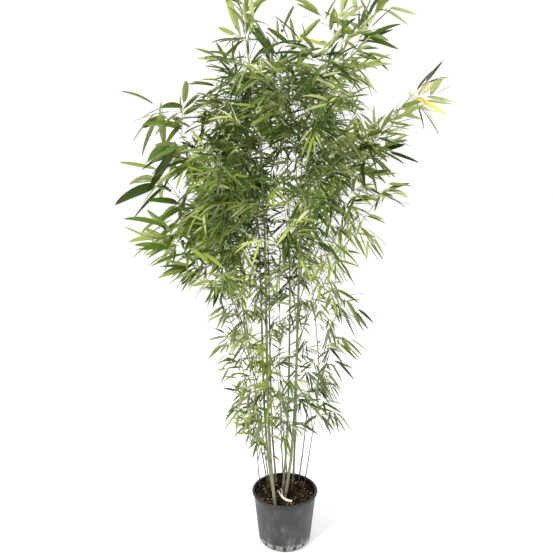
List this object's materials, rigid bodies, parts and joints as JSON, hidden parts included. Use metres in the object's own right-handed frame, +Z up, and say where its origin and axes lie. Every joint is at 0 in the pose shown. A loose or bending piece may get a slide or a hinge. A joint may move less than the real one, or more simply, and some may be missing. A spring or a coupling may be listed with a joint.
{
  "type": "potted bamboo",
  "caption": "Tall clump-forming bamboo with slender upright culms and a vase-shaped leafy crown, growing in a round nursery pot that stands on its flat underside.",
  "frame": {"origin": "centre of the pot's flat underside", "axes": "+Z up along the plant's height, +X to the right and +Y to the back as the plant is seen from its front"},
  "size_m": [1.3067, 1.0574, 2.3053],
  "materials": {
    "pot_plastic": "moulded charcoal nursery-pot plastic, weathered to grey streaks",
    "potting_soil": "dark composted-bark potting mix with a few pale chips",
    "rhizome": "pale cream, smooth young rhizome",
    "culm": "smooth olive-green culm with pale rings at its nodes",
    "bough": "smooth green branch",
    "leaves": "satin green leaves, a few of them yellowing"
  },
  "bodies": {
    "root": {"bough_back_left": "bough", "bough_back_right": "bough", "bough_front": "bough", "bough_left_high": "bough", "bough_left_low": "bough", "bough_left_middle": "bough", "bough_right_high": "bough", "bough_right_low": "bough", "bough_right_middle": "bough", "culm_far_left": "culm", "culm_far_right": "culm", "culm_left_back": "culm", "culm_left_front": "culm", "culm_left_middle": "culm", "culm_middle_back": "culm", "culm_middle_front": "culm", "culm_right_back": "culm", "culm_right_front": "culm", "culm_right_middle": "culm", "culm_thin_left": "culm", "culm_thin_left_inner": "culm", "culm_thin_right": "culm", "foliage_bough_back_left": "leaves", "foliage_bough_back_right": "leaves", "foliage_bough_front": "leaves", "foliage_bough_left_high": "leaves", "foliage_bough_left_low": "leaves", "foliage_bough_left_middle": "leaves", "foliage_bough_right_high": "leaves", "foliage_bough_right_low": "leaves", "foliage_bough_right_middle": "leaves", "foliage_far_left_tip": "leaves", "foliage_far_right_tip": "leaves", "foliage_left_back_tip": "leaves", "foliage_left_front_tip": "leaves", "foliage_left_middle_tip": "leaves", "foliage_middle_back_tip": "leaves", "foliage_middle_front_tip": "leaves", "foliage_right_back_tip": "leaves", "foliage_right_front_tip": "leaves", "foliage_right_middle_tip": "leaves", "foliage_spray_1": "leaves", "foliage_spray_10": "leaves", "foliage_spray_11": "leaves", "foliage_spray_12": "leaves", "foliage_spray_13": "leaves", "foliage_spray_2": "leaves", "foliage_spray_3": "leaves", "foliage_spray_4": "leaves", "foliage_spray_5": "leaves", "foliage_spray_6": "leaves", "foliage_spray_7": "leaves", "foliage_spray_8": "leaves", "foliage_spray_9": "leaves", "foliage_thin_left_inner_tip": "leaves", "foliage_thin_left_tip": "leaves", "foliage_thin_right_tip": "leaves", "pot": "pot_plastic", "potting_soil": "potting_soil", "rhizome_shoot": "rhizome"}
  },
  "joints": []
}
